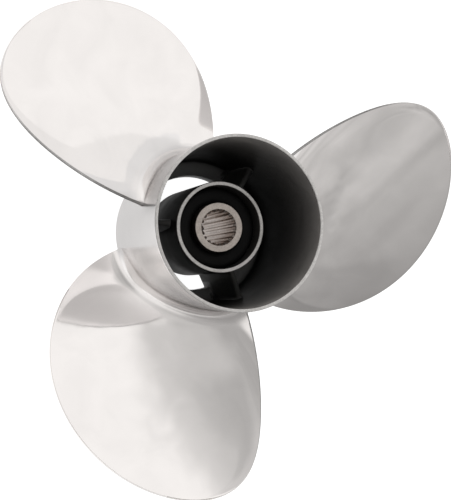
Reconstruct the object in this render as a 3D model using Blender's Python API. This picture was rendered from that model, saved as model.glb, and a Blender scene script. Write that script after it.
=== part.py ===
"""Three-blade stainless boat propeller with its exhaust passing through the hub.

Metres, +Z up. The shaft's axis is Z and points aft. The propeller stands on
the forward end of its barrel at z = 0, and blade_1 is centred on +X.
"""

from math import atan2, cos, hypot, pi, radians, sin, sqrt

import bmesh
import bpy

# Everything below is in metres and degrees.
GAP = 0.0003

BLADES = 3
TIP_RADIUS = 0.1878
BARREL_LENGTH = 0.127
BARREL_RADIUS = 0.0594
BARREL_BORE_AFT = 0.0570
BARREL_BORE_FORWARD = 0.0562
BARREL_EDGE = 0.0006
BARREL_SEGMENTS = 84

RING_HEIGHT = 0.018
RING_LIP_RADIUS = 0.0455
RING_LIP_HEIGHT = 0.0120
RING_CHAMFER = 0.0012
RING_CURVE_POINTS = 5

HUB_RADIUS_AFT = 0.0328
HUB_RADIUS_FORWARD = 0.0340
HUB_BORE = 0.0299
HUB_FORWARD = 0.0010
HUB_AFT = 0.0827
HUB_CHAMFER = 0.0004
HUB_SEGMENTS = 60

SLEEVE_RADIUS = 0.01795
SLEEVE_FORWARD = 0.0020
SLEEVE_AFT = 0.0787
SPLINE_TEETH = 19
SPLINE_ROOT_RADIUS = 0.0130
SPLINE_TIP_RADIUS = 0.0114

BUSHING_FORWARD = 0.0035
BUSHING_AFT = 0.0720
BUSHING_CROWN = 0.0030
BUSHING_SEGMENTS = 48

RIB_ANGLE = 49.0
RIB_AFT_AT_HUB = 0.0670
RIB_AFT_AT_WALL = 0.0570
RIB_THICKNESS_FORWARD = 0.0125
RIB_THICKNESS_AFT = 0.0045

# The blade's middle surface is a helix whose pitch grows outwards, swept aft
# by a rake that steepens a little towards the tip.
REFERENCE_RADIUS = 0.120
REFERENCE_HEIGHT = 0.0631
PITCH = 0.374
PITCH_GROWTH = 0.255
RAKE = 0.327
RAKE_CURVE = 0.58
# In a strip along the leading edge, widest at the root, the surface rolls off
# and keeps only this share of the helix's slope.
ROLL_WIDTH = 0.0385
ROLL_END_RADIUS = 0.145
ROLL_POWER = 1.9
ROLL_SLOPE_KEPT = 0.50
ROLL_SOFTNESS = 0.15
ROLL_FADE = 0.0020

# s runs from 0 at the root to 1 at the tip. Half of the blade's angle is
# cos(s / 4 turn) times the first polynomial in s, its middle is the second.
HALF_ANGLE = (49.0, -37.0, 48.5, -17.9)
MIDDLE_ANGLE = (-8.5, 27.4, -34.4, 71.5, -45.6)
# Near the root the leading edge is trimmed back, by this angle at the barrel.
LEADING_TRIM = 4.9
LEADING_TRIM_POWER = 7

EDGE_THICKNESS = 0.0024
# The leading edge is thicker by this much at the root, and thins out quickly.
NOSE_GROWTH = 0.0045
NOSE_POWER = 3
ROOT_THICKNESS = 0.0100
TIP_THICKNESS = 0.0034
CUP_WIDTH = 0.08
CUP_HEIGHT = 0.0012
ROOT_FILLET = 0.0120
# The fillet stands this share lower at the leading and trailing edges.
FILLET_FADE = 0.95
LOWEST_ON_BLADE = 0.0012
FILLET_ANGLES = (77.2, 62.0, 46.0, 30.0, 15.0)
SPAN_STEPS = 17
CHORD_STEPS = 20
CAP_ROWS = 4


def clear_scene():
    for thing in list(bpy.data.objects):
        bpy.data.objects.remove(thing, do_unlink=True)


def make_material(name, colour, metallic, roughness):
    material = bpy.data.materials.new(name)
    material.use_nodes = True
    shader = material.node_tree.nodes["Principled BSDF"]
    shader.inputs["Base Color"].default_value = (*colour, 1.0)
    shader.inputs["Metallic"].default_value = metallic
    shader.inputs["Roughness"].default_value = roughness
    material.diffuse_color = (*colour, 1.0)
    return material


def finish(name, bm, material, sharp=30):
    """Turn a bmesh into a named, smoothly shaded object."""
    bmesh.ops.recalc_face_normals(bm, faces=bm.faces)
    mesh = bpy.data.meshes.new(name)
    bm.to_mesh(mesh)
    bm.free()
    mesh.shade_smooth()
    mesh.set_sharp_from_angle(angle=radians(sharp))
    mesh.materials.append(material)
    piece = bpy.data.objects.new(name, mesh)
    bpy.context.scene.collection.objects.link(piece)
    return piece


def turned(name, profile, segments, material):
    """Spin a closed profile of (radius, height) points round the Z axis."""
    bm = bmesh.new()
    points = [bm.verts.new((radius, 0, height)) for radius, height in profile]
    edges = [bm.edges.new((a, b)) for a, b in zip(points, points[1:] + points[:1])]
    bmesh.ops.spin(
        bm, geom=points + edges, cent=(0, 0, 0), axis=(0, 0, 1),
        angle=2 * pi, steps=segments, use_merge=True,
    )
    bmesh.ops.remove_doubles(bm, verts=bm.verts, dist=0.00001)
    return finish(name, bm, material)


def wall_radius(height):
    """Inner radius of the barrel and of its forward ring at this height."""
    if height >= RING_HEIGHT:
        share = (height - RING_HEIGHT) / (BARREL_LENGTH - RING_HEIGHT)
        return BARREL_BORE_FORWARD + share * (BARREL_BORE_AFT - BARREL_BORE_FORWARD)
    if height <= RING_LIP_HEIGHT:
        return RING_LIP_RADIUS
    share = (RING_HEIGHT - height) / (RING_HEIGHT - RING_LIP_HEIGHT)
    drop = 1 - sqrt(1 - share * share)
    return BARREL_BORE_FORWARD - drop * (BARREL_BORE_FORWARD - RING_LIP_RADIUS)


def ring_curve_heights():
    """Heights down the ring's rounded inner shoulder, top to bottom."""
    span = RING_HEIGHT - RING_LIP_HEIGHT
    steps = range(RING_CURVE_POINTS + 1)
    return [RING_HEIGHT - span * sin(pi / 2 * k / RING_CURVE_POINTS) for k in steps]


def outer_barrel(material):
    low = RING_HEIGHT + GAP
    edge = BARREL_EDGE
    profile = [
        (BARREL_RADIUS, low),
        (BARREL_RADIUS, BARREL_LENGTH - edge),
        (BARREL_RADIUS - edge, BARREL_LENGTH),
        (BARREL_BORE_AFT + edge, BARREL_LENGTH),
        (BARREL_BORE_AFT, BARREL_LENGTH - edge),
        (BARREL_BORE_FORWARD, low),
    ]
    return turned("outer_barrel", profile, BARREL_SEGMENTS, material)


def forward_ring(material):
    profile = [
        (RING_LIP_RADIUS, 0),
        (BARREL_RADIUS - RING_CHAMFER, 0),
        (BARREL_RADIUS, RING_CHAMFER),
        (BARREL_RADIUS, RING_HEIGHT),
    ]
    profile += [(wall_radius(height), height) for height in ring_curve_heights()]
    return turned("forward_ring", profile, BARREL_SEGMENTS, material)


def hub_radius(height):
    """Outer radius of the inner hub, which widens forwards by the casting's draft."""
    share = (HUB_AFT - height) / (HUB_AFT - HUB_FORWARD)
    return HUB_RADIUS_AFT + share * (HUB_RADIUS_FORWARD - HUB_RADIUS_AFT)


def inner_hub(material):
    edge = HUB_CHAMFER
    profile = [
        (HUB_BORE, HUB_FORWARD),
        (HUB_RADIUS_FORWARD, HUB_FORWARD),
        (HUB_RADIUS_AFT, HUB_AFT - edge),
        (HUB_RADIUS_AFT - edge, HUB_AFT),
        (HUB_BORE + edge, HUB_AFT),
        (HUB_BORE, HUB_AFT - edge),
    ]
    return turned("inner_hub", profile, HUB_SEGMENTS, material)


def rubber_bushing(material):
    inner = SLEEVE_RADIUS + GAP
    outer = HUB_BORE - GAP
    middle = (inner + outer) / 2
    quarter = (outer - inner) / 4
    profile = [
        (inner, BUSHING_FORWARD),
        (outer, BUSHING_FORWARD),
        (outer, BUSHING_AFT - BUSHING_CROWN),
        (middle + quarter, BUSHING_AFT - BUSHING_CROWN / 4),
        (middle, BUSHING_AFT),
        (middle - quarter, BUSHING_AFT - BUSHING_CROWN / 4),
        (inner, BUSHING_AFT - BUSHING_CROWN),
    ]
    return turned("rubber_bushing", profile, BUSHING_SEGMENTS, material)


def spline_sleeve(material):
    """A tube whose bore has straight-sided teeth along all of its length."""
    bm = bmesh.new()
    pitch = 2 * pi / SPLINE_TEETH
    # One tooth and one space: share of the pitch, radius.
    tooth = (
        (0.00, SPLINE_TIP_RADIUS), (0.34, SPLINE_TIP_RADIUS),
        (0.50, SPLINE_ROOT_RADIUS), (0.67, SPLINE_ROOT_RADIUS),
        (0.84, SPLINE_ROOT_RADIUS),
    )
    loops = []
    for height in (SLEEVE_FORWARD, SLEEVE_AFT):
        bore, rim = [], []
        for number in range(SPLINE_TEETH):
            for share, radius in tooth:
                turn = (number + share) * pitch
                for loop, r in ((bore, radius), (rim, SLEEVE_RADIUS)):
                    loop.append(bm.verts.new((r * cos(turn), r * sin(turn), height)))
        loops.append((bore, rim))
    (bore_low, rim_low), (bore_high, rim_high) = loops
    pairs = (
        (bore_low, bore_high), (bore_high, rim_high),
        (rim_high, rim_low), (rim_low, bore_low),
    )
    count = len(bore_low)
    for first, second in pairs:
        for k in range(count):
            after = (k + 1) % count
            bm.faces.new((first[k], first[after], second[after], second[k]))
    return finish("spline_sleeve", bm, material)


def rib(number, material):
    """A web from the inner hub to the barrel, thicker towards the bow."""
    heights = [HUB_FORWARD] + ring_curve_heights()[::-1] + [RIB_AFT_AT_WALL]
    outline = [(hub_radius(HUB_FORWARD) + GAP, HUB_FORWARD)]
    outline += [(wall_radius(height) - GAP, height) for height in heights]
    outline += [(hub_radius(RIB_AFT_AT_HUB) + GAP, RIB_AFT_AT_HUB)]

    def half_thickness(height):
        share = (height - HUB_FORWARD) / (RIB_AFT_AT_HUB - HUB_FORWARD)
        return (RIB_THICKNESS_FORWARD * (1 - share) + RIB_THICKNESS_AFT * share) / 2

    bm = bmesh.new()
    columns = []
    for side in (-1, 0, 1):
        column = []
        for radius, height in outline:
            y = side * half_thickness(height)
            column.append(bm.verts.new((sqrt(radius * radius - y * y), y, height)))
        columns.append(column)
    left, middle, right = columns
    bm.faces.new(left)
    bm.faces.new(right[::-1])
    count = len(outline)
    for first, second in ((left, middle), (middle, right)):
        for k in range(count):
            after = (k + 1) % count
            bm.faces.new((first[k], second[k], second[after], first[after]))
    bmesh.ops.triangulate(bm, faces=[face for face in bm.faces if len(face.verts) > 4])
    piece = finish(f"rib_{number}", bm, material)
    piece.rotation_euler.z = radians(RIB_ANGLE + (number - 1) * 360 / BLADES)
    return piece


def polynomial(coefficients, s):
    return sum(value * s**power for power, value in enumerate(coefficients))


def middle_height(radius, turn):
    """Height of the blade's middle surface, turn in radians from its centre."""
    out = radius - REFERENCE_RADIUS
    pitch = PITCH + PITCH_GROWTH * out
    height = REFERENCE_HEIGHT + pitch * turn / (2 * pi) + RAKE * out + RAKE_CURVE * out * out
    inwards = max(0.0, (ROLL_END_RADIUS - radius) / (ROLL_END_RADIUS - BARREL_RADIUS))
    width = ROLL_WIDTH * inwards**ROLL_POWER
    room = width - (turn - blade_turns(radius)[0]) * radius
    rolled = (room + hypot(room, ROLL_SOFTNESS * width)) / 2
    lost = (1 - ROLL_SLOPE_KEPT) * width / (width + ROLL_FADE)
    return height + lost * pitch / (2 * pi * radius) * rolled


def blade_turns(radius):
    """Angles of the leading and trailing edges at this radius, in radians."""
    share = (radius - BARREL_RADIUS) / (TIP_RADIUS - BARREL_RADIUS)
    s = atan2(share, sqrt(max(0.0, 1 - share * share))) / (pi / 2)
    half = cos(s * pi / 2) * polynomial(HALF_ANGLE, s)
    middle = polynomial(MIDDLE_ANGLE, s)
    trim = LEADING_TRIM * (1 - s) ** LEADING_TRIM_POWER
    return radians(middle - half + trim), radians(middle + half)


def fillet_at(radius):
    """How far the root fillet stands off the blade at this radius."""
    out = max(0.0, radius - BARREL_RADIUS)
    if out >= ROOT_FILLET:
        return 0.0
    return ROOT_FILLET - sqrt(ROOT_FILLET**2 - (ROOT_FILLET - out) ** 2)


def edge_thickness(radius, across):
    """Thickness that the section keeps at its edges, thicker at the leading edge's root."""
    share = (radius - BARREL_RADIUS) / (TIP_RADIUS - BARREL_RADIUS)
    nose_share = (1 - min(1.0, share)) ** NOSE_POWER * (1 - across) ** NOSE_POWER
    return EDGE_THICKNESS + NOSE_GROWTH * nose_share


def blade_point(radius, across, depth):
    """A point of the blade. across is 0 at the leading edge and 1 at the trailing
    edge; depth is 0 on the aft face and 1 on the forward face."""
    first, last = blade_turns(radius)
    turn = first + across * (last - first)
    step = 0.0005
    rise = middle_height(radius, turn + step) - middle_height(radius, turn - step)
    run = 2 * step * radius
    length = hypot(rise, run)
    rise, run = rise / length, run / length
    share = (radius - BARREL_RADIUS) / (TIP_RADIUS - BARREL_RADIUS)
    full = ROOT_THICKNESS + (TIP_THICKNESS - ROOT_THICKNESS) * min(1.0, share) ** 0.8
    bulge = (4 * across * (1 - across)) ** 0.8
    edge = edge_thickness(radius, across)
    thickness = edge + (full - edge) * bulge
    stand = fillet_at(radius) * (1 - FILLET_FADE * (2 * across - 1) ** 6)
    offset = EDGE_THICKNESS / 2 + stand - depth * (thickness + 2 * stand)
    cup = CUP_HEIGHT * max(0.0, (across - 1 + CUP_WIDTH) / CUP_WIDTH) ** 2
    height = middle_height(radius, turn) + offset * run + cup
    turn -= offset * rise / radius
    return radius, turn, max(LOWEST_ON_BLADE, height)


def section_loop(radius):
    """(radius, turn, height) round one section: aft face, edge, forward face, edge."""
    aft = [blade_point(radius, k / CHORD_STEPS, 0) for k in range(CHORD_STEPS + 1)]
    forward = [blade_point(radius, k / CHORD_STEPS, 1) for k in range(CHORD_STEPS + 1)]
    return aft, forward


def between(a, b, share):
    """The place this share of the way from a to b, part by part."""
    return tuple(x + share * (y - x) for x, y in zip(a, b))


def nose(aft, forward):
    """The rounded leading edge's foremost point, half the edge's thickness past the section."""
    radius = aft[0][0]
    turn = (aft[0][1] + forward[0][1]) / 2
    height = (aft[0][2] + forward[0][2]) / 2
    back_turn = turn - (aft[1][1] + forward[1][1]) / 2
    back_height = height - (aft[1][2] + forward[1][2]) / 2
    length = hypot(back_turn * radius, back_height)
    reach = edge_thickness(radius, 0) / 2
    return (
        radius,
        turn + back_turn * reach / length,
        max(LOWEST_ON_BLADE, height + back_height * reach / length),
    )


def blade_radii():
    """Root stations that follow the fillet, then stations that close up at the tip."""
    radii = [BARREL_RADIUS + ROOT_FILLET * (1 - sin(radians(a))) for a in FILLET_ANGLES]
    start = (ROOT_FILLET * 1.05) / (TIP_RADIUS - BARREL_RADIUS)
    first = atan2(start, sqrt(1 - start * start))
    last = radians(88.5)
    for k in range(SPAN_STEPS + 1):
        angle = first + (last - first) * k / SPAN_STEPS
        radii.append(BARREL_RADIUS + (TIP_RADIUS - BARREL_RADIUS) * sin(angle))
    return radii


def blade(number, material):
    bm = bmesh.new()

    def vertex(place):
        radius, turn, height = place
        return bm.verts.new((radius * cos(turn), radius * sin(turn), height))

    rings = []
    for radius in blade_radii():
        aft, forward = section_loop(radius)
        loop = aft + forward[::-1] + [nose(aft, forward)]
        rings.append([vertex(place) for place in loop])
    last = CHORD_STEPS
    count = len(rings[0])

    # The root closes along the barrel's round surface, in rows between its two faces.
    root = rings[0]
    aft, forward = section_loop(blade_radii()[0])
    rows = [root[: last + 1]]
    for row in range(1, CAP_ROWS):
        share = row / CAP_ROWS
        rows.append([vertex(between(a, b, share)) for a, b in zip(aft, forward)])
    rows.append([root[count - 2 - k] for k in range(last + 1)])
    for first, second in zip(rows, rows[1:]):
        for k in range(last):
            bm.faces.new((first[k], second[k], second[k + 1], first[k + 1]))
        bm.faces.new((first[0], root[-1], second[0]))

    for lower, upper in zip(rings, rings[1:]):
        for k in range(count):
            after = (k + 1) % count
            corners = [lower[k], lower[after], upper[after], upper[k]]
            if lower is root and k == last:
                corners[1:1] = [row[last] for row in rows[1:-1]]
            bm.faces.new(corners)

    tip = rings[-1]
    for k in range(last):
        bm.faces.new((tip[k], tip[k + 1], tip[count - 3 - k], tip[count - 2 - k]))
    bm.faces.new((tip[0], tip[count - 2], tip[count - 1]))
    bmesh.ops.triangulate(bm, faces=[face for face in bm.faces if len(face.verts) > 4])
    piece = finish(f"blade_{number}", bm, material)
    piece.rotation_euler.z = radians((number - 1) * 360 / BLADES)
    return piece


def main():
    clear_scene()
    steel = make_material("polished_steel", (0.83, 0.82, 0.80), 1.0, 0.12)
    painted = make_material("dark_passage", (0.018, 0.018, 0.017), 0.0, 0.35)
    rubber = make_material("black_rubber", (0.012, 0.012, 0.012), 0.0, 0.6)
    machined = make_material("machined_sleeve", (0.46, 0.42, 0.39), 1.0, 0.35)
    outer_barrel(steel)
    forward_ring(steel)
    inner_hub(painted)
    rubber_bushing(rubber)
    spline_sleeve(machined)
    for number in range(1, BLADES + 1):
        rib(number, painted)
        blade(number, steel)


main()
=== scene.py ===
from math import atan2, cos, hypot, pi, radians, sin, sqrt

import bpy
from mathutils import Matrix, Vector


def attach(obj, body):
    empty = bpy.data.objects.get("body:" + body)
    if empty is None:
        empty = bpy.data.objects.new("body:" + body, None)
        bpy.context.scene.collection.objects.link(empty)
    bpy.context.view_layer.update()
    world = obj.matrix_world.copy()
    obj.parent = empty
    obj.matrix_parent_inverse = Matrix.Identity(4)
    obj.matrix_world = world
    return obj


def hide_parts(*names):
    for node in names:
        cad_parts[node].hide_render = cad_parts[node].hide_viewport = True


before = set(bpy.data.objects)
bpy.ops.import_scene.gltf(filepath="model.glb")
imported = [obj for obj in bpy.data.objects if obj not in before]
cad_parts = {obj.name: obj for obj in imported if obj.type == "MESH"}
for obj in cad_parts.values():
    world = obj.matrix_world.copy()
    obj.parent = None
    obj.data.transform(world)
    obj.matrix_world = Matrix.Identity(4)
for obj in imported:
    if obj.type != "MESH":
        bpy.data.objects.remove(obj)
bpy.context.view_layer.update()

# Small-boat propeller in polished stainless steel. Metres, +Z points aft along the shaft.
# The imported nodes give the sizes, and the pieces here give them their real surfaces.

print("packed model loaded:", len(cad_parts), "nodes")


def startClean():
    if bpy.context.mode != "OBJECT":
        bpy.ops.object.mode_set(mode="OBJECT")
    bpy.ops.object.select_all(action="DESELECT")


def openForEdit(piece, kind="VERT"):
    startClean()
    piece.select_set(True)
    bpy.context.view_layer.objects.active = piece
    bpy.ops.object.mode_set(mode="EDIT")
    bpy.ops.mesh.select_mode(type=kind)
    bpy.ops.mesh.select_all(action="DESELECT")


def applyModifiers(piece):
    startClean()
    piece.select_set(True)
    bpy.context.view_layer.objects.active = piece
    for modifier in list(piece.modifiers):
        bpy.ops.object.modifier_apply(modifier=modifier.name)


def finishShape(piece, sharpAngle=35):
    openForEdit(piece)
    bpy.ops.mesh.select_all(action="SELECT")
    bpy.ops.mesh.remove_doubles(threshold=0.000004)
    bpy.ops.mesh.normals_make_consistent(inside=False)
    startClean()
    piece.select_set(True)
    bpy.context.view_layer.objects.active = piece
    bpy.ops.object.transform_apply(location=True, rotation=True, scale=True)
    bpy.ops.object.shade_smooth_by_angle(angle=radians(sharpAngle))
    startClean()


def addBevel(piece, width, segments=3, angle=40):
    bevel = piece.modifiers.new("softEdges", "BEVEL")
    bevel.width = width
    bevel.segments = segments
    bevel.limit_method = "ANGLE"
    bevel.angle_limit = radians(angle)
    applyModifiers(piece)


# Turned pieces start as a circle that is pulled and scaled along the section, as on a lathe.
def turnPiece(name, section, steps):
    startClean()
    radius, height = section[0]
    bpy.ops.mesh.primitive_circle_add(
        vertices=steps, radius=radius, location=(0, 0, height), enter_editmode=True)
    for nextRadius, nextHeight in section[1:] + section[:1]:
        bpy.ops.mesh.extrude_edges_move(
            TRANSFORM_OT_translate={"value": (0, 0, nextHeight - height)})
        grow = nextRadius / radius
        bpy.ops.transform.resize(value=(grow, grow, 1))
        radius, height = nextRadius, nextHeight
    bpy.ops.object.mode_set(mode="OBJECT")
    piece = bpy.context.object
    piece.name = name
    piece.data.name = name
    return piece


def polynomial(factors, s):
    return sum(factor * s**power for power, factor in enumerate(factors))


barrel = {
    "radius": 0.0594,
    "length": 0.127,
    "boreAft": 0.0570,
    "boreForward": 0.0562,
    "shoulderHeight": 0.018,
    "lipRadius": 0.0455,
    "lipHeight": 0.0120,
    "shoulderSteps": 14,
    "edgeRound": 0.0005,
    "support": 0.0012,
    "paintDepth": 0.0012,
    "rimDepth": 0.0004,
    "endDepth": 0.001,
    "endSlope": 0.6,
    "steps": 300,
}


def innerWall(height):
    # radius of the barrel's inside at this height, rounded shoulder and lip included
    if height >= barrel["shoulderHeight"]:
        share = (height - barrel["shoulderHeight"]) / (barrel["length"] - barrel["shoulderHeight"])
        return barrel["boreForward"] + share * (barrel["boreAft"] - barrel["boreForward"])
    if height <= barrel["lipHeight"]:
        return barrel["lipRadius"]
    share = (barrel["shoulderHeight"] - height) / (barrel["shoulderHeight"] - barrel["lipHeight"])
    inwards = 1 - sqrt(1 - share * share)
    return barrel["boreForward"] - inwards * (barrel["boreForward"] - barrel["lipRadius"])


def buildBarrel():
    outer, length, near = barrel["radius"], barrel["length"], barrel["support"]
    section = [
        (outer, 0), (outer, near), (outer, length - near), (outer, length),
        (barrel["boreAft"], length), (innerWall(length - near), length - near),
    ]
    rise = barrel["shoulderHeight"] - barrel["lipHeight"]
    for step in range(barrel["shoulderSteps"] + 1):
        turn = pi / 2 * step / barrel["shoulderSteps"]
        height = barrel["shoulderHeight"] - rise * sin(turn)
        section.append((innerWall(height), height))
    section.append((barrel["lipRadius"], 0))
    piece = turnPiece("barrel", section, barrel["steps"])
    finishShape(piece)
    addBevel(piece, barrel["edgeRound"])
    finishShape(piece)
    return piece


hub = {
    "radiusAft": 0.0328,
    "radiusForward": 0.0340,
    "bore": 0.0299,
    "forward": 0.0010,
    "aft": 0.0827,
    "edgeRound": 0.0005,
    "support": 0.0011,
    "endDepth": 0.00045,
    "steps": 200,
}


def hubRadius(height):
    share = (hub["aft"] - height) / (hub["aft"] - hub["forward"])
    return hub["radiusAft"] + share * (hub["radiusForward"] - hub["radiusAft"])


def buildHub():
    near, forward, aft = hub["support"], hub["forward"], hub["aft"]
    section = [
        (hubRadius(forward), forward), (hubRadius(forward + near), forward + near),
        (hubRadius(aft - near), aft - near), (hubRadius(aft), aft),
        (hub["bore"], aft), (hub["bore"], aft - near),
        (hub["bore"], forward + near), (hub["bore"], forward),
    ]
    piece = turnPiece("innerHub", section, hub["steps"])
    finishShape(piece)
    addBevel(piece, hub["edgeRound"])
    finishShape(piece)
    return piece


# A grid wrapped into shape: place(column, row) says where each of its points goes.
def wrapGrid(name, columns, rows, place):
    startClean()
    bpy.ops.mesh.primitive_grid_add(x_subdivisions=columns, y_subdivisions=rows, size=1)
    piece = bpy.context.object
    piece.name = name
    piece.data.name = name
    for vertex in piece.data.vertices:
        column = round((vertex.co.x + 0.5) * columns)
        row = round((vertex.co.y + 0.5) * rows)
        vertex.co = place(column, row)
    return piece


ribs = {
    "angle": 49.0,
    "forward": 0.0010,
    "aftAtHub": 0.0670,
    "aftAtWall": 0.0570,
    "thickForward": 0.0125,
    "thickAft": 0.0042,
    "flare": 0.0030,
    "ridgeFlare": 0.5,
    "sink": 0.0006,
    "sideSteps": 14,
    "ridgeSteps": 12,
    "spanSteps": 28,
}


def ribPlace(column, row):
    # the section goes up one side, round the ridge, down the other side and closes below
    side, ridge = ribs["sideSteps"], ribs["ridgeSteps"]
    total = 2 * side + ridge
    column = column % (total + 1)
    outwards = (1 - cos(pi * row / ribs["spanSteps"])) / 2
    crest = ribs["aftAtHub"] + outwards * (ribs["aftAtWall"] - ribs["aftAtHub"])
    reach = innerWall(crest) - hubRadius(crest)
    flare = sum(filletStand(gap * reach, ribs["flare"]) for gap in (outwards, 1 - outwards))
    half = ribs["thickAft"] / 2 + flare
    top = crest - ribs["thickAft"] / 2

    def halfAt(height):
        share = (height - ribs["forward"]) / (top - ribs["forward"])
        return ribs["thickForward"] / 2 * (1 - share) + ribs["thickAft"] / 2 * share + flare

    if side < column < side + ridge:
        turn = pi * (column - side) / ridge
        height = top + (ribs["thickAft"] / 2 + flare * ribs["ridgeFlare"]) * sin(turn)
        across = -half * cos(turn)
    else:
        share = min(column, total - column) / side
        height = ribs["forward"] + share * (top - ribs["forward"])
        across = halfAt(height) * (-1 if column <= side else 1)
    inner = hubRadius(height) - ribs["sink"]
    radius = inner + outwards * (innerWall(height) + ribs["sink"] - inner)
    return Vector((sqrt(radius * radius - across * across), across, height))


def buildRib(number):
    total = 2 * ribs["sideSteps"] + ribs["ridgeSteps"] + 1
    piece = wrapGrid(f"rib{number}", total, ribs["spanSteps"], ribPlace)
    finishShape(piece)
    openForEdit(piece, "EDGE")
    bpy.ops.mesh.select_non_manifold()
    bpy.ops.mesh.fill_holes(sides=0)
    piece.rotation_euler.z = radians(ribs["angle"] + (number - 1) * 120)
    finishShape(piece)
    return piece


blade = {
    "tipRadius": 0.1878,
    "referenceRadius": 0.120,
    "referenceHeight": 0.0631,
    "pitch": 0.374,
    "pitchGrowth": 0.255,
    "rake": 0.327,
    "rakeCurve": 0.58,
    "rollWidth": 0.0385,
    "rollEndRadius": 0.145,
    "rollPower": 1.9,
    "rollSlopeKept": 0.50,
    "rollSoftness": 0.15,
    "rollFade": 0.0020,
    "halfAngle": (49.0, -37.0, 48.5, -17.9),
    "middleAngle": (-8.5, 27.4, -34.4, 71.5, -45.6),
    "leadingTrim": 4.9,
    "leadingTrimPower": 7,
    "edge": 0.0024,
    "noseGrowth": 0.0045,
    "nosePower": 3,
    "rootThick": 0.0100,
    "tipThick": 0.0034,
    "thinPower": 0.8,
    "bulgePower": 0.8,
    "tipBulge": 6,
    "cupWidth": 0.08,
    "cupHeight": 0.0012,
    "fillet": 0.0120,
    "filletFade": 0.95,
    "filletFadePower": 6,
    "filletCrowding": 1.25,
    "lowest": 0.0012,
    "across": 84,
    "edgeCrowding": 0.25,
    "round": 8,
    "rimEven": 0.80,
    "leadingRim": (0.85, 0.50),  # power of the rounding, reach as a share of the edge's thickness
    "trailingRim": (0.45, 0.22),
    "tipRim": (0.65, 0.36),
    "filletRows": 22,
    "spanRows": 76,
}


def middleHeight(radius, turn):
    out = radius - blade["referenceRadius"]
    pitch = blade["pitch"] + blade["pitchGrowth"] * out
    height = (blade["referenceHeight"] + pitch * turn / (2 * pi)
              + blade["rake"] * out + blade["rakeCurve"] * out * out)
    # the strip along the leading edge rolls off and keeps less of the slope
    inwards = max(0.0, (blade["rollEndRadius"] - radius) / (blade["rollEndRadius"] - barrel["radius"]))
    width = blade["rollWidth"] * inwards ** blade["rollPower"]
    room = width - (turn - edgeTurns(spanAt(radius))[0]) * radius
    rolled = (room + hypot(room, blade["rollSoftness"] * width)) / 2
    lost = (1 - blade["rollSlopeKept"]) * width / (width + blade["rollFade"])
    return height + lost * pitch / (2 * pi * radius) * rolled


def edgeTurns(span):
    # angles of the leading and trailing edges, span is 0 at the root and 1 at the tip
    half = cos(span * pi / 2) * polynomial(blade["halfAngle"], span)
    middle = polynomial(blade["middleAngle"], span)
    trim = blade["leadingTrim"] * (1 - span) ** blade["leadingTrimPower"]
    return radians(middle - half + trim), radians(middle + half)


def radiusAt(span):
    return barrel["radius"] + (blade["tipRadius"] - barrel["radius"]) * sin(span * pi / 2)


def spanOf(share):
    # the span at this share of the way from the root's radius to the tip's
    return atan2(share, sqrt(max(0.0, 1 - share * share))) / (pi / 2)


def spanAt(radius):
    return spanOf((radius - barrel["radius"]) / (blade["tipRadius"] - barrel["radius"]))


def edgeThickness(radius, share):
    # what the section keeps at its edges, thicker at the leading edge's root
    inwards = 1 - min(1.0, (radius - barrel["radius"]) / (blade["tipRadius"] - barrel["radius"]))
    return blade["edge"] + blade["noseGrowth"] * (inwards * (1 - share)) ** blade["nosePower"]


def filletStand(out, size):
    if out >= size:
        return 0.0
    out = max(0.0, out)
    return size - sqrt(size * size - (size - out) ** 2)


def cupLift(share):
    return blade["cupHeight"] * max(0.0, (share - 1 + blade["cupWidth"]) / blade["cupWidth"]) ** 2


def onMiddle(span, share):
    first, last = edgeTurns(span)
    turn = first + share * (last - first)
    radius = radiusAt(span)
    return Vector((radius * cos(turn), radius * sin(turn), middleHeight(radius, turn) + cupLift(share)))


def sheetPoint(span, share, depth):
    # depth is 0 on the aft face and 1 on the forward face
    first, last = edgeTurns(span)
    turn = first + share * (last - first)
    radius = radiusAt(span)
    step = 0.0005
    rise = middleHeight(radius, turn + step) - middleHeight(radius, turn - step)
    run = 2 * step * radius
    length = hypot(rise, run)
    rise, run = rise / length, run / length
    out = radius - barrel["radius"]
    grown = min(1.0, out / (blade["tipRadius"] - barrel["radius"]))
    full = blade["rootThick"] + (blade["tipThick"] - blade["rootThick"]) * grown ** blade["thinPower"]
    bulge = (4 * share * (1 - share)) ** blade["bulgePower"]
    bulge *= min(1.0, cos(span * pi / 2) * blade["tipBulge"]) ** 0.5
    edge = edgeThickness(radius, share)
    thick = edge + (full - edge) * bulge
    fade = blade["filletFade"] * (2 * share - 1) ** blade["filletFadePower"]
    stand = filletStand(out, blade["fillet"]) * (1 - fade)
    offset = blade["edge"] / 2 + stand - depth * (thick + 2 * stand)
    height = middleHeight(radius, turn) + offset * run + cupLift(share)
    turn -= offset * rise / radius
    return Vector((radius * cos(turn), radius * sin(turn), max(blade["lowest"], height)))


def bladeSpans():
    length = blade["tipRadius"] - barrel["radius"]
    spans = []
    for step in range(blade["filletRows"]):
        turn = pi / 2 * (step / blade["filletRows"]) ** blade["filletCrowding"]
        spans.append(spanOf(blade["fillet"] * (1 - cos(turn)) / length))
    start = spanOf(blade["fillet"] / length)
    for step in range(blade["spanRows"] + 1):
        spans.append(start + (1 - start) * step / blade["spanRows"])
    return spans


def bladeShares():
    # points across the blade lie closer together near its two edges
    turns = [pi * (k / blade["across"]) for k in range(blade["across"] + 1)]
    return [0.5 - 0.5 * cos(turn) * (1 - blade["edgeCrowding"] * sin(turn) ** 2) for turn in turns]


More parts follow.
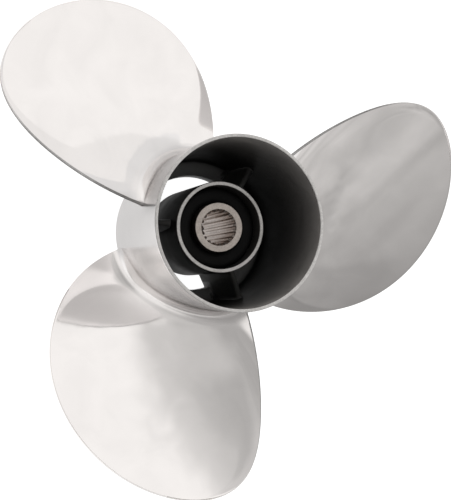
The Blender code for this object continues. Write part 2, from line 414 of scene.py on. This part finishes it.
def edgeRoundFrame(span, share):
    # middle, upward and outward directions of the rounded rim between the two faces
    aft, forward = sheetPoint(span, share, 0), sheetPoint(span, share, 1)
    middle = (aft + forward) / 2
    up = (aft - forward) / 2
    step = 0.002
    along = onMiddle(min(1, span + step), share) - onMiddle(max(0, span - step), share)
    if span > 1 - step:
        first = onMiddle(1 - step, 0)
        last = onMiddle(1 - step, 1)
        along = (last - first) * (1 if share < 0.5 else -1)
    outward = along.cross(up).normalized()
    if share < 0.5:
        outward = -outward
    return middle, up, outward


def buildBlade():
    spans = bladeSpans()
    shares = bladeShares()
    across, rim = blade["across"], blade["round"]
    total = 2 * across + 2 * rim
    cache = {}

    def place(column, row):
        column = column % total
        span = spans[row]
        if column <= across:
            return sheetPoint(span, shares[column], 0)
        if column < across + rim:
            part = (column - across) / rim
            return rimPoint(span, 1, part)
        if column <= 2 * across + rim:
            return sheetPoint(span, shares[2 * across + rim - column], 1)
        part = (total - column) / rim
        return rimPoint(span, 0, part)

    def rimPoint(span, share, part):
        key = (span, share)
        if key not in cache:
            cache[key] = edgeRoundFrame(span, share)
        middle, up, outward = cache[key]
        turn = pi * part
        # the two rims grow alike towards the tip, where they meet
        even = max(0.0, (span - blade["rimEven"]) / (1 - blade["rimEven"]))
        own = blade["trailingRim"] if share else blade["leadingRim"]
        power, full = (value + even * (atTip - value) for value, atTip in zip(own, blade["tipRim"]))
        reach = abs(sin(turn)) ** power * full * edgeThickness(radiusAt(span), share)
        lift = abs(cos(turn)) ** power * (1 if turn < pi / 2 else -1)
        return middle + up * lift + outward * reach

    piece = wrapGrid("blade1", total, len(spans) - 1, place)
    for face in piece.data.polygons:
        column = face.index % total
        if across <= column < across + rim:
            face.material_index = 1
    finishShape(piece, 50)
    return piece


rubber = {
    "inner": 0.01825,
    "outer": 0.0296,
    "forward": 0.0035,
    "aft": 0.0720,
    "crown": 0.0030,
    "crownSteps": 14,
    "steps": 120,
}


def buildRubber():
    middle = (rubber["inner"] + rubber["outer"]) / 2
    half = (rubber["outer"] - rubber["inner"]) / 2
    section = [(rubber["inner"], rubber["forward"]), (rubber["outer"], rubber["forward"])]
    for step in range(rubber["crownSteps"] + 1):
        side = 1 - 2 * step / rubber["crownSteps"]
        section.append((middle + half * side, rubber["aft"] - rubber["crown"] * side**4))
    piece = turnPiece("rubberBushing", section, rubber["steps"])
    finishShape(piece, 60)
    return piece


sleeve = {
    "radius": 0.01795,
    "forward": 0.0020,
    "aft": 0.0787,
    "teeth": 19,
    "rootRadius": 0.0130,
    "tipRadius": 0.0114,
    "pointsPerTooth": 16,
    "chamfer": 0.0008,
    "mouthGap": 0.0003,
    "toothFinish": 0.0001,
}


def toothRadius(share):
    # share of one pitch: land, flank, root, flank
    land, flank, root = 0.34, 0.16, 0.34
    share = share % 1
    if share < land:
        lift = 0
    elif share < land + flank:
        lift = (share - land) / flank
    elif share < land + flank + root:
        lift = 1
    else:
        lift = (1 - share) / flank
    lift = min(1, max(0, lift))
    lift = lift * lift * (3 - 2 * lift)
    return sleeve["tipRadius"] + lift * (sleeve["rootRadius"] - sleeve["tipRadius"])


def buildSleeve():
    count = sleeve["teeth"] * sleeve["pointsPerTooth"]
    cut = sleeve["chamfer"]
    aft, forward, outer = sleeve["aft"], sleeve["forward"], sleeve["radius"]
    mouth = sleeve["rootRadius"] + sleeve["mouthGap"]
    # ring number, radius or None where the teeth are, height
    rings = [
        (outer, forward + cut / 2), (outer - cut / 2, forward), (mouth, forward), (None, forward + cut * 2),
        (None, aft - cut * 2), (mouth, aft), (outer - cut / 2, aft), (outer, aft - cut / 2),
    ]

    def place(column, row):
        radius, height = rings[row % len(rings)]
        share = (column % count) / sleeve["pointsPerTooth"]
        turn = 2 * pi * (column % count) / count
        if radius is None:
            radius = toothRadius(share)
        return Vector((radius * cos(turn), radius * sin(turn), height))

    piece = wrapGrid("splineSleeve", count, len(rings), place)
    finishShape(piece, 30)
    return piece


def newMaterial(name, colour, metallic, roughness):
    material = bpy.data.materials.new(name)
    material.use_nodes = True
    shader = material.node_tree.nodes["Principled BSDF"]
    shader.inputs["Base Color"].default_value = (*colour, 1)
    shader.inputs["Metallic"].default_value = metallic
    shader.inputs["Roughness"].default_value = roughness
    material.diffuse_color = (*colour, 1)
    return material


def addNode(tree, kind, values=None, **settings):
    node = tree.nodes.new(kind)
    for key, value in settings.items():
        setattr(node, key, value)
    for key, value in (values or {}).items():
        node.inputs[key].default_value = value
    return node


buffs = {
    "onSteel": {"Wave Size": 20.0, "Ripple Size": 70.0, "Ripple Share": 0.12},
    "soft": {"Detail": 1.0, "Roughness": 0.4},
    "cloud": {"Scale": 34.0, "Detail": 3.0, "Distortion": 0.6},
}


# Soft blotches and fine streaks that a buffing wheel leaves. Every finish uses it, and on paint
# and rubber it is the grain.
def makeBuffing():
    group = bpy.data.node_groups.new("handBuffing", "ShaderNodeTree")
    for name, value in buffs["onSteel"].items():
        socket = group.interface.new_socket(name=name, in_out="INPUT", socket_type="NodeSocketFloat")
        socket.default_value = value
    for name in ("Height", "Cloud"):
        group.interface.new_socket(name=name, in_out="OUTPUT", socket_type="NodeSocketFloat")
    entry = group.nodes.new("NodeGroupInput")
    leave = group.nodes.new("NodeGroupOutput")
    place = group.nodes.new("ShaderNodeTexCoord")
    wave = addNode(group, "ShaderNodeTexNoise", buffs["soft"])
    ripple = addNode(group, "ShaderNodeTexNoise", buffs["soft"])
    cloud = addNode(group, "ShaderNodeTexNoise", buffs["cloud"])
    share = addNode(group, "ShaderNodeMath", operation="MULTIPLY")
    total = addNode(group, "ShaderNodeMath", operation="ADD")
    link = group.links.new
    for noise in (wave, ripple, cloud):
        link(place.outputs["Object"], noise.inputs["Vector"])
    link(entry.outputs["Wave Size"], wave.inputs["Scale"])
    link(entry.outputs["Ripple Size"], ripple.inputs["Scale"])
    link(ripple.outputs["Fac"], share.inputs[0])
    link(entry.outputs["Ripple Share"], share.inputs[1])
    link(wave.outputs["Fac"], total.inputs[0])
    link(share.outputs[0], total.inputs[1])
    link(total.outputs[0], leave.inputs["Height"])
    link(cloud.outputs["Fac"], leave.inputs["Cloud"])
    return group


buffing = makeBuffing()


def addBuffing(tree, waveSize, rippleSize, rippleShare):
    values = {"Wave Size": waveSize, "Ripple Size": rippleSize, "Ripple Share": rippleShare}
    return addNode(tree, "ShaderNodeGroup", values, node_tree=buffing)


# Stretches the middle of a pattern to run from one value to another.
def spread(tree, source, low, high, fromLow=0.3, fromHigh=0.7):
    node = addNode(tree, "ShaderNodeMapRange", {
        "From Min": fromLow, "From Max": fromHigh, "To Min": low, "To Max": high})
    tree.links.new(source, node.inputs["Value"])
    return node.outputs["Result"]


# Small helpers that add one node to a tree and hand back its output.
def nodeHelpers(tree):
    link = tree.links.new

    def give(socket, value):
        if isinstance(value, (int, float)):
            socket.default_value = value
        else:
            link(value, socket)

    def math(operation, *values):
        node = addNode(tree, "ShaderNodeMath", operation=operation)
        for place, value in enumerate(values):
            give(node.inputs[place], value)
        return node.outputs[0]

    def ramp(value, low, high):
        node = addNode(
            tree, "ShaderNodeMapRange", {"From Min": low, "From Max": high},
            interpolation_type="SMOOTHSTEP")
        give(node.inputs["Value"], value)
        return node.outputs["Result"]

    def blend(share, first, second):
        node = addNode(tree, "ShaderNodeMix", data_type="FLOAT")
        for key, value in (("Factor", share), ("A", first), ("B", second)):
            give(node.inputs[key], value)
        return node.outputs["Result"]

    return math, ramp, blend


# Where a point lies as seen from the nearest blade: turn from its middle in degrees, distance
# from the shaft's axis and height.
def makeBladePlaces():
    group = bpy.data.node_groups.new("bladePlaces", "ShaderNodeTree")
    for name in ("Turn", "Radius", "Height"):
        group.interface.new_socket(name=name, in_out="OUTPUT", socket_type="NodeSocketFloat")
    leave = group.nodes.new("NodeGroupOutput")
    place = group.nodes.new("ShaderNodeTexCoord")
    split = group.nodes.new("ShaderNodeSeparateXYZ")
    flat = addNode(group, "ShaderNodeVectorMath", {1: (1, 1, 0)}, operation="MULTIPLY")
    radius = addNode(group, "ShaderNodeVectorMath", operation="LENGTH")
    turn = addNode(group, "ShaderNodeMath", operation="ARCTAN2")
    degrees = addNode(group, "ShaderNodeMath", {1: 180 / pi}, operation="MULTIPLY")
    sector = addNode(group, "ShaderNodeMath", {1: 60.0, 2: -60.0}, operation="WRAP")
    link = group.links.new
    link(place.outputs["Object"], split.inputs[0])
    link(place.outputs["Object"], flat.inputs[0])
    link(flat.outputs["Vector"], radius.inputs[0])
    link(split.outputs["Y"], turn.inputs[0])
    link(split.outputs["X"], turn.inputs[1])
    link(turn.outputs[0], degrees.inputs[0])
    link(degrees.outputs[0], sector.inputs[0])
    link(sector.outputs[0], leave.inputs["Turn"])
    link(radius.outputs["Value"], leave.inputs["Radius"])
    link(split.outputs["Z"], leave.inputs["Height"])
    return group


bladePlaces = makeBladePlaces()

polish = {
    "colour": (0.80, 0.778, 0.770),
    "colourVaries": 0.945,
    "roughLow": 0.05,
    "roughHigh": 0.10,
    "waveHeight": 0.0004,
    "rootRough": 0.21,
    "rootEdge": (0.069, 0.079),
    # painted shade in the barrel wall's corner above each blade, and a painted highlight beside it
    "cornerShade": 0.62,
    "cornerRise": 0.045,
    "cornerAt": 0.054,
    "cornerLow": (-0.008, 0.030),
    "cornerHigh": (0.088, 0.052),
    "cornerFirst": (-38, -8),
    "cornerLast": (52, 36),
    "cornerOut": (0.0612, 0.0596),
    "paintedHighlight": 0.98,
    "shineFirst": (-51, -46),
    "shineLast": (-24, -36),
    "shineLow": (0.050, 0.066),
}


def makePolishedSteel():
    material = newMaterial("polishedSteel", polish["colour"], 1, polish["roughLow"])
    tree = material.node_tree
    shader = tree.nodes["Principled BSDF"]
    buffed = addNode(tree, "ShaderNodeGroup", node_tree=buffing)
    bump = addNode(tree, "ShaderNodeBump", {"Strength": 1.0, "Distance": polish["waveHeight"]})
    tint = addNode(tree, "ShaderNodeMix", data_type="RGBA")
    tint.inputs["A"].default_value = (*(c * polish["colourVaries"] for c in polish["colour"]), 1)
    tint.inputs["B"].default_value = (*polish["colour"], 1)
    tree.links.new(buffed.outputs["Height"], bump.inputs["Height"])
    tree.links.new(bump.outputs["Normal"], shader.inputs["Normal"])
    tree.links.new(spread(tree, buffed.outputs["Cloud"], 0, 1), tint.inputs["Factor"])
    # the barrel and the blades' root fillets are out of the buffing wheel's reach and stay satin
    places = addNode(tree, "ShaderNodeGroup", node_tree=bladePlaces)
    rough = addNode(tree, "ShaderNodeMath", operation="MAXIMUM")
    tree.links.new(
        spread(tree, buffed.outputs["Cloud"], polish["roughHigh"], polish["roughLow"]), rough.inputs[0])
    satin = spread(tree, places.outputs["Radius"], polish["rootRough"], 0, *polish["rootEdge"])
    tree.links.new(satin, rough.inputs[1])
    tree.links.new(rough.outputs[0], shader.inputs["Roughness"])

    # painted shade and painted highlight: the barrel's wall is painted darker in the corner above each
    # blade, standing in for the blade's dark reflection, and painted brighter beside it
    math, ramp, _ = nodeHelpers(tree)
    turn, radius, height = (places.outputs[name] for name in ("Turn", "Radius", "Height"))
    above = math("SUBTRACT", height, math("MULTIPLY", turn, radians(polish["cornerRise"])))
    above = math("SUBTRACT", above, polish["cornerAt"])
    onWall = ramp(radius, *polish["cornerOut"])
    cornerPaintedShade = math("MULTIPLY", ramp(above, *polish["cornerLow"]), ramp(above, *polish["cornerHigh"]))
    cornerPaintedShade = math("MULTIPLY", cornerPaintedShade, ramp(turn, *polish["cornerFirst"]))
    cornerPaintedShade = math("MULTIPLY", cornerPaintedShade, ramp(turn, *polish["cornerLast"]))
    paintedHighlight = math("MULTIPLY", ramp(turn, *polish["shineFirst"]), ramp(turn, *polish["shineLast"]))
    paintedHighlight = math("MULTIPLY", paintedHighlight, ramp(height, *polish["shineLow"]))
    colour = tint.outputs["Result"]
    darker, brighter = 1 - polish["cornerShade"], polish["paintedHighlight"] / polish["colour"][0]
    for share, factor in ((cornerPaintedShade, darker), (paintedHighlight, brighter)):
        change = addNode(tree, "ShaderNodeMix", data_type="RGBA")
        change.inputs["B"].default_value = (*(c * factor for c in polish["colour"]), 1)
        tree.links.new(math("MULTIPLY", share, onWall), change.inputs["Factor"])
        tree.links.new(colour, change.inputs["A"])
        colour = change.outputs["Result"]
    tree.links.new(colour, shader.inputs["Base Color"])
    return material


steel = makePolishedSteel()


turned = {
    "mottle": (900.0, 240.0, 0.6),
    "grooveScale": 5200.0,
    "grooveShare": 0.6,
    "darkest": 0.72,
    "lightest": 1.12,
    "tintFrom": (0.7, 1.5),
    "roughVaries": 0.06,
}


# Rings faced on a lathe: fine grooves round the shaft's axis and a mottled dullness.
def makeTurned(name, colour, roughness, grooves=0.00002, fade=None):
    material = newMaterial(name, colour, 1, roughness)
    tree = material.node_tree
    link = tree.links.new
    shader = tree.nodes["Principled BSDF"]
    places = addNode(tree, "ShaderNodeGroup", node_tree=bladePlaces)
    buffed = addBuffing(tree, *turned["mottle"])
    lines = addNode(
        tree, "ShaderNodeTexNoise", {"Scale": turned["grooveScale"], "Detail": 1.0}, noise_dimensions="1D")
    both = addNode(tree, "ShaderNodeMath", {1: turned["grooveShare"]}, operation="MULTIPLY_ADD")
    bump = addNode(tree, "ShaderNodeBump", {"Strength": 1.0, "Distance": grooves})
    tint = addNode(tree, "ShaderNodeMix", data_type="RGBA")
    tint.inputs["A"].default_value = (*(c * turned["darkest"] for c in colour), 1)
    tint.inputs["B"].default_value = (*(min(1, c * turned["lightest"]) for c in colour), 1)
    link(places.outputs["Radius"], lines.inputs["W"])
    link(lines.outputs["Fac"], both.inputs[0])
    link(buffed.outputs["Height"], both.inputs[2])
    link(both.outputs[0], bump.inputs["Height"])
    link(bump.outputs["Normal"], shader.inputs["Normal"])
    link(spread(tree, both.outputs[0], 0, 1, *turned["tintFrom"]), tint.inputs["Factor"])
    base = tint.outputs["Result"]
    if fade:
        # towards the blade's tip the ground edge and its painted shade give way to polished steel
        _, ramp, _ = nodeHelpers(tree)
        polished = addNode(tree, "ShaderNodeMix", data_type="RGBA")
        polished.inputs["B"].default_value = (*polish["colour"], 1)
        link(ramp(places.outputs["Radius"], *fade), polished.inputs["Factor"])
        link(base, polished.inputs["A"])
        base = polished.outputs["Result"]
    link(base, shader.inputs["Base Color"])
    dull, bright = roughness + turned["roughVaries"], roughness - turned["roughVaries"]
    link(spread(tree, buffed.outputs["Cloud"], dull, bright), shader.inputs["Roughness"])
    return material


paint = {
    "deep": (0.0095, 0.0095, 0.0093),
    "mouth": (0.262, 0.249, 0.239),
    "heights": (0.030, 0.127),
    "bend": 2.8,
    "specular": 0.035,
    "peel": 0.00006,
    "grain": (420.0, 160.0, 0.8),
    "patches": (0.72, 1.15),
    "rough": (0.34, 0.50),
    # painted light on the forward end's lip and shelf
    "lip": 0.30,
    "shelf": 0.33,
    "shelfHeights": (0.0186, 0.0126),
    "lipHeights": (0.0118, 0.0124),
    "lipFrom": (0.040, 0.042),
}
# the ribs' paint: the crest colour is a painted highlight, lighter towards the ridge
ribPaintLook = {
    "deep": (0.070, 0.070, 0.068),
    "crest": (0.30, 0.295, 0.29),
    "heights": (0.060, 0.0685),
    "specular": 0.06,
}


# Satin black paint with orange peel. Painted light: it is painted greyer towards the barrel's mouth, where
# light falls in, and on the ribs lighter towards the crest as a painted highlight.
def makePaint(name, deep, mouth, heights, specular):
    material = newMaterial(name, deep, 0, sum(paint["rough"]) / 2)
    tree = material.node_tree
    link = tree.links.new
    shader = tree.nodes["Principled BSDF"]
    shader.inputs["Specular IOR Level"].default_value = specular
    places = addNode(tree, "ShaderNodeGroup", node_tree=bladePlaces)
    buffed = addBuffing(tree, *paint["grain"])
    # painted light: by height the colour turns from the deep black to the lit grey
    share = spread(tree, places.outputs["Height"], 0, 1, *heights)
    bent = addNode(tree, "ShaderNodeMath", {1: paint["bend"]}, operation="POWER")
    patchy = addNode(tree, "ShaderNodeMath", operation="MULTIPLY")
    paintedLightMix = addNode(tree, "ShaderNodeMix", data_type="RGBA")
    paintedLightMix.inputs["A"].default_value = (*deep, 1)
    paintedLightMix.inputs["B"].default_value = (*mouth, 1)
    bump = addNode(tree, "ShaderNodeBump", {"Strength": 1.0, "Distance": paint["peel"]})
    link(share, bent.inputs[0])
    link(bent.outputs[0], patchy.inputs[0])
    link(spread(tree, buffed.outputs["Cloud"], *paint["patches"]), patchy.inputs[1])
    link(patchy.outputs[0], paintedLightMix.inputs["Factor"])
    # painted light: the forward end's shelf and lip are painted lighter, standing in for the light that
    # reaches them
    math, ramp, blend = nodeHelpers(tree)
    paintedLipLight = addNode(tree, "ShaderNodeMix", data_type="RGBA")
    link(blend(ramp(places.outputs["Height"], *paint["lipHeights"]), paint["lip"], paint["shelf"]),
         paintedLipLight.inputs["B"])
    onLip = math("MULTIPLY", ramp(places.outputs["Height"], *paint["shelfHeights"]),
                 ramp(places.outputs["Radius"], *paint["lipFrom"]))
    link(onLip, paintedLipLight.inputs["Factor"])
    link(paintedLightMix.outputs["Result"], paintedLipLight.inputs["A"])
    link(paintedLipLight.outputs["Result"], shader.inputs["Base Color"])
    link(buffed.outputs["Height"], bump.inputs["Height"])
    link(bump.outputs["Normal"], shader.inputs["Normal"])
    link(spread(tree, buffed.outputs["Cloud"], *paint["rough"]), shader.inputs["Roughness"])
    return material


rubberLook = {
    "colour": (0.004, 0.004, 0.004),
    "darkest": (0.003, 0.003, 0.003),
    "bloom": (0.007, 0.007, 0.007),
    "roughness": 0.75,
    "specular": 0.18,
    "grain": (1500.0, 500.0, 0.7),
    "grainHeight": 0.00005,
}


# Moulded rubber: fine grain and a dull bloom.
def makeRubber():
    material = newMaterial("blackRubber", rubberLook["colour"], 0, rubberLook["roughness"])
    tree = material.node_tree
    link = tree.links.new
    shader = tree.nodes["Principled BSDF"]
    shader.inputs["Specular IOR Level"].default_value = rubberLook["specular"]
    buffed = addBuffing(tree, *rubberLook["grain"])
    bump = addNode(tree, "ShaderNodeBump", {"Strength": 1.0, "Distance": rubberLook["grainHeight"]})
    bloom = addNode(tree, "ShaderNodeMix", data_type="RGBA")
    bloom.inputs["A"].default_value = (*rubberLook["darkest"], 1)
    bloom.inputs["B"].default_value = (*rubberLook["bloom"], 1)
    link(buffed.outputs["Height"], bump.inputs["Height"])
    link(bump.outputs["Normal"], shader.inputs["Normal"])
    link(spread(tree, buffed.outputs["Cloud"], 0, 1), bloom.inputs["Factor"])
    link(bloom.outputs["Result"], shader.inputs["Base Color"])
    return material


machined = makeTurned("machinedRing", (0.53, 0.52, 0.51), 0.32)
hubFace = makeTurned("hubEndRing", (0.42, 0.41, 0.40), 0.34)
sleeveMetal = makeTurned("machinedSleeve", (0.40, 0.36, 0.33), 0.36, 0.00003)
splineMetal = makeTurned("broachedSplines", (0.66, 0.58, 0.53), 0.30, 0.00005)
# the trailing rim is a ground edge, painted darker as a painted reflection of the shaded floor
groundEdgeWithPaintedShade = makeTurned("groundEdgeWithPaintedShade", (0.34, 0.332, 0.328), 0.34, 0.00001, (0.140, 0.178))
dark = makePaint("darkPassage", paint["deep"], paint["mouth"], paint["heights"], paint["specular"])
ribPaint = makePaint("ribPaint", *(ribPaintLook[key] for key in ("deep", "crest", "heights", "specular")))
black = makeRubber()


def placeOn(piece, material, slot, *nodes):
    if not piece.data.materials:
        piece.data.materials.append(material)
    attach(piece, "root")
    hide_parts(*nodes)


# Faces that a test picks by their middle and normal take another finish.
def refinish(piece, material, picked):
    piece.data.materials.append(material)
    for face in piece.data.polygons:
        if picked(face.center, face.normal):
            face.material_index = len(piece.data.materials) - 1


def insideBarrel(place, normal):
    inside = hypot(place.x, place.y) < barrel["radius"] - barrel["paintDepth"]
    return inside and place.z < barrel["length"] - barrel["rimDepth"]


def barrelEnds(place, normal):
    between = barrel["endDepth"] <= place.z <= barrel["length"] - barrel["endDepth"]
    return abs(normal.z) > barrel["endSlope"] and not between


def hubEnd(place, normal):
    return place.z > hub["aft"] - hub["endDepth"]


def toothed(place, normal):
    return hypot(place.x, place.y) < sleeve["rootRadius"] + sleeve["toothFinish"]


barrelPiece = buildBarrel()
placeOn(barrelPiece, steel, "polished_steel", "outer_barrel", "forward_ring")
refinish(barrelPiece, dark, insideBarrel)
refinish(barrelPiece, machined, barrelEnds)
hubPiece = buildHub()
placeOn(hubPiece, dark, "dark_passage", "inner_hub")
refinish(hubPiece, hubFace, hubEnd)
for number in (1, 2, 3):
    placeOn(buildRib(number), ribPaint, "dark_passage", f"rib_{number}")
firstBlade = buildBlade()
firstBlade.data.materials.append(steel)
firstBlade.data.materials.append(groundEdgeWithPaintedShade)
for number in (1, 2, 3):
    piece = firstBlade
    if number > 1:
        piece = firstBlade.copy()
        piece.data = firstBlade.data.copy()
        bpy.context.scene.collection.objects.link(piece)
        piece.name = f"blade{number}"
        piece.data.transform(Matrix.Rotation(radians(120 * (number - 1)), 4, "Z"))
    placeOn(piece, steel, "polished_steel", f"blade_{number}")
placeOn(buildRubber(), black, "black_rubber", "rubber_bushing")
sleevePiece = buildSleeve()
placeOn(sleevePiece, sleeveMetal, "machined_sleeve", "spline_sleeve")
refinish(sleevePiece, splineMetal, toothed)
print("pieces built")

camera = {
    "place": (-0.18723, -0.01908, 0.63205),
    "back": (-0.32535, -0.00416, 0.94558),
    "upHint": (0.1045, 0.9945, 0),
    "lens": 58.63,
    "sensor": 36,
}


def addCamera():
    data = bpy.data.cameras.new("camera")
    data.lens = camera["lens"]
    data.sensor_width = camera["sensor"]
    view = bpy.data.objects.new("camera", data)
    bpy.context.scene.collection.objects.link(view)
    back = Vector(camera["back"]).normalized()
    right = Vector(camera["upHint"]).cross(back).normalized()
    up = back.cross(right)
    turn = Matrix((right, up, back)).transposed().to_4x4()
    view.matrix_world = Matrix.Translation(camera["place"]) @ turn
    bpy.context.scene.camera = view


addCamera()

# The floor is a light table: it glows, so the exhaust passages show bright against it.
# Its glow is weaker near the propeller and, for the camera, under the hub, as a painted shadow.
floorLook = {
    "size": 6,
    "drop": 0.0002,
    "colour": (0.30, 0.30, 0.30),
    "roughness": 0.9,
    "seenGlow": 1.00,
    "glowNear": 0.60,
    "glowFar": 0.82,
    "glowFrom": 0.12,
    "glowTo": 0.45,
    "glowLeft": 0.42,
    "leftEdge": (-0.07, -0.15),
    "leftSide": (0.035, -0.005),
    "dip": 0.14,
    "dipFirst": (9, 14),
    "dipLast": (80, 62),
    "shadeUnderHub": (0.030, 0.0335),
}


def addFloor():
    startClean()
    bpy.ops.mesh.primitive_plane_add(size=floorLook["size"], location=(0, 0, -floorLook["drop"]))
    floor = bpy.context.object
    floor.name = "floor"
    pale = newMaterial("paleFloor", floorLook["colour"], 0, floorLook["roughness"])
    tree = pale.node_tree
    link = tree.links.new
    shader = tree.nodes["Principled BSDF"]
    shader.inputs["Specular IOR Level"].default_value = 0
    shader.inputs["Emission Color"].default_value = (1, 1, 1, 1)
    place = addNode(tree, "ShaderNodeTexCoord")
    away = addNode(tree, "ShaderNodeVectorMath", operation="LENGTH")
    link(place.outputs["Object"], away.inputs[0])
    math, ramp, _ = nodeHelpers(tree)
    split = addNode(tree, "ShaderNodeSeparateXYZ")
    link(place.outputs["Object"], split.inputs[0])
    side = math("MULTIPLY", math("ARCTAN2", split.outputs["Y"], split.outputs["X"]), 180 / pi)
    dip = math("MULTIPLY", ramp(side, *floorLook["dipFirst"]), ramp(side, *floorLook["dipLast"]))
    glow = spread(
        tree, away.outputs["Value"], floorLook["glowNear"], floorLook["glowFar"],
        floorLook["glowFrom"], floorLook["glowTo"])
    glow = math("SUBTRACT", glow, math("MULTIPLY", dip, floorLook["dip"]))
    left = math("MULTIPLY", ramp(split.outputs["X"], *floorLook["leftEdge"]), floorLook["glowLeft"])
    left = math("MULTIPLY", left, ramp(split.outputs["Y"], *floorLook["leftSide"]))
    glow = math("ADD", glow, left)
    ray = addNode(tree, "ShaderNodeLightPath")
    seen = addNode(tree, "ShaderNodeMix", data_type="FLOAT")
    link(ray.outputs["Is Camera Ray"], seen.inputs["Factor"])
    link(glow, seen.inputs["A"])
    lit = addNode(tree, "ShaderNodeMath", operation="MULTIPLY")
    lit.inputs[0].default_value = floorLook["seenGlow"]
    link(spread(tree, away.outputs["Value"], 0, 1, *floorLook["shadeUnderHub"]), lit.inputs[1])
    link(lit.outputs[0], seen.inputs["B"])
    link(seen.outputs["Result"], shader.inputs["Emission Strength"])
    floor.data.materials.append(pale)


# Soft light all round: a white wall on one side and dimmer ones elsewhere, a bright ceiling
# with a dim patch over the camera, and a bright strip low down that leaves out one side.
room = {
    "around": (
        (-180, 0.42), (-150, 0.37), (-130, 0.46), (-120, 0.46), (-110, 0.49), (-90, 0.54),
        (-75, 0.62), (-60, 0.70), (-45, 0.80), (-34, 0.92), (-26, 1.15), (100, 1.15),
        (107, 1.00), (113, 0.83), (120, 0.74), (128, 0.63), (136, 0.56), (146, 0.55), (153, 0.52),
        (166, 0.50), (180, 0.42)),
    "clutterLook": {"Scale": 5.0, "Detail": 3.0, "Roughness": 0.5, "Distortion": 0.9},
    "clutter": 0.30,
    "clutterBelow": (0.80, 1.00),
    "wander": 44.0,
    "dip": 0.09,
    "dipRise": 0.95,
    "dipEdge": (12, 13.2),
    "dipLast": (80, 62),
    "dipTop": (26, 17),
    "glowSide": 132,
    "glowWidth": (68, 44),
    "glow": 1.08,
    "glowHeight": (24, 19),
    "even": 0.76,
    "evenShare": 0.70,
    "evenFirst": (99, 112),
    "evenLast": (155, 143),
    "evenLow": (23, 29),
    "evenHigh": (47, 40),
    "lowHeight": (12, 5),
    "lowFirst": (-84, -98),
    "lowLast": (-42, -28),
    "wallEdge": (60, 68),
    "ceiling": 0.95,
    "patch": 0.34,
    "patchSide": -165,
    "patchHeight": 68,
    "patchEdge": (40, 6),
    "warmth": (1.0, 0.987, 0.972),
}


def addRoomLight():
    world = bpy.data.worlds.new("softRoom")
    bpy.context.scene.world = world
    world.use_nodes = True
    tree = world.node_tree
    link = tree.links.new
    math, ramp, blend = nodeHelpers(tree)
    place = addNode(tree, "ShaderNodeTexCoord")
    split = addNode(tree, "ShaderNodeSeparateXYZ")
    link(place.outputs["Generated"], split.inputs[0])
    side = math("MULTIPLY", math("ARCTAN2", split.outputs["Y"], split.outputs["X"]), 180 / pi)
    height = math("MULTIPLY", math("ARCSINE", split.outputs["Z"]), 180 / pi)

    # the walls are unevenly lit, and where one shade meets the next wanders
    clutter = addNode(tree, "ShaderNodeTexNoise", room["clutterLook"])
    link(place.outputs["Generated"], clutter.inputs["Vector"])
    uneven = math("SUBTRACT", clutter.outputs["Fac"], 0.5)

    # the curve runs from 0 to 1 both ways: one turn round the room, and a light of 0 to 2
    curve = addNode(tree, "ShaderNodeFloatCurve")
    points = curve.mapping.curves[0].points
    while len(points) < len(room["around"]):
        points.new(0.5, 0.5)
    for point, (angle, light) in zip(points, room["around"]):
        point.location = ((angle + 180) / 360, light / 2)
        point.handle_type = "AUTO_CLAMPED"
    curve.mapping.update()
    wandering = math("ADD", math("MULTIPLY", uneven, room["wander"]), 180)
    link(math("DIVIDE", math("ADD", side, wandering), 360), curve.inputs["Value"])
    light = math("MULTIPLY", curve.outputs[0], 2)
    dim = math("SUBTRACT", 1, ramp(light, *room["clutterBelow"]))
    light = math("ADD", light, math("MULTIPLY", math("MULTIPLY", uneven, room["clutter"]), dim))

    # beside the bright wall the light is more even halfway up
    beside = math("MULTIPLY", ramp(side, *room["evenFirst"]), ramp(side, *room["evenLast"]))
    halfway = math("MULTIPLY", ramp(height, *room["evenLow"]), ramp(height, *room["evenHigh"]))
    even = math("MULTIPLY", beside, halfway)
    light = blend(math("MULTIPLY", even, room["evenShare"]), light, room["even"])

    apart = addNode(tree, "ShaderNodeMath", {1: 180.0, 2: -180.0}, operation="WRAP")
    link(math("SUBTRACT", side, room["glowSide"]), apart.inputs[0])
    near = ramp(math("ABSOLUTE", apart.outputs[0]), *room["glowWidth"])
    strip = math("MULTIPLY", near, ramp(height, *room["glowHeight"]))
    low = math("MAXIMUM", ramp(side, *room["lowFirst"]), ramp(side, *room["lowLast"]))
    low = math("MULTIPLY", low, ramp(height, *room["lowHeight"]))
    strip = math("MAXIMUM", strip, low)
    light = blend(strip, light, math("MAXIMUM", light, room["glow"]))
    # a slightly dimmer stretch of wall low on the bright side, with a slanting upper edge
    slant = math("SUBTRACT", math("MULTIPLY", side, room["dipRise"]), height)
    dip = math("MULTIPLY", ramp(slant, *room["dipEdge"]), ramp(side, *room["dipLast"]))
    dip = math("MULTIPLY", dip, ramp(height, *room["dipTop"]))
    light = math("MULTIPLY", light, math("SUBTRACT", 1, math("MULTIPLY", dip, room["dip"])))
    light = blend(ramp(height, *room["wallEdge"]), light, room["ceiling"])

    toPatch = addNode(tree, "ShaderNodeVectorMath", operation="DOT_PRODUCT")
    link(place.outputs["Generated"], toPatch.inputs[0])
    facing, raised = radians(room["patchSide"]), radians(room["patchHeight"])
    toPatch.inputs[1].default_value = (cos(raised) * cos(facing), cos(raised) * sin(facing), sin(raised))
    off = math("MULTIPLY", math("ARCCOSINE", toPatch.outputs["Value"]), 180 / pi)
    dimmed = math("MINIMUM", light, room["patch"])
    light = blend(ramp(off, *room["patchEdge"]), light, dimmed)

    background = tree.nodes["Background"]
    background.inputs["Color"].default_value = (*room["warmth"], 1)
    link(light, background.inputs["Strength"])
    bpy.context.scene.view_settings.view_transform = "Standard"


addFloor()
addRoomLight()
print("floor and light added")
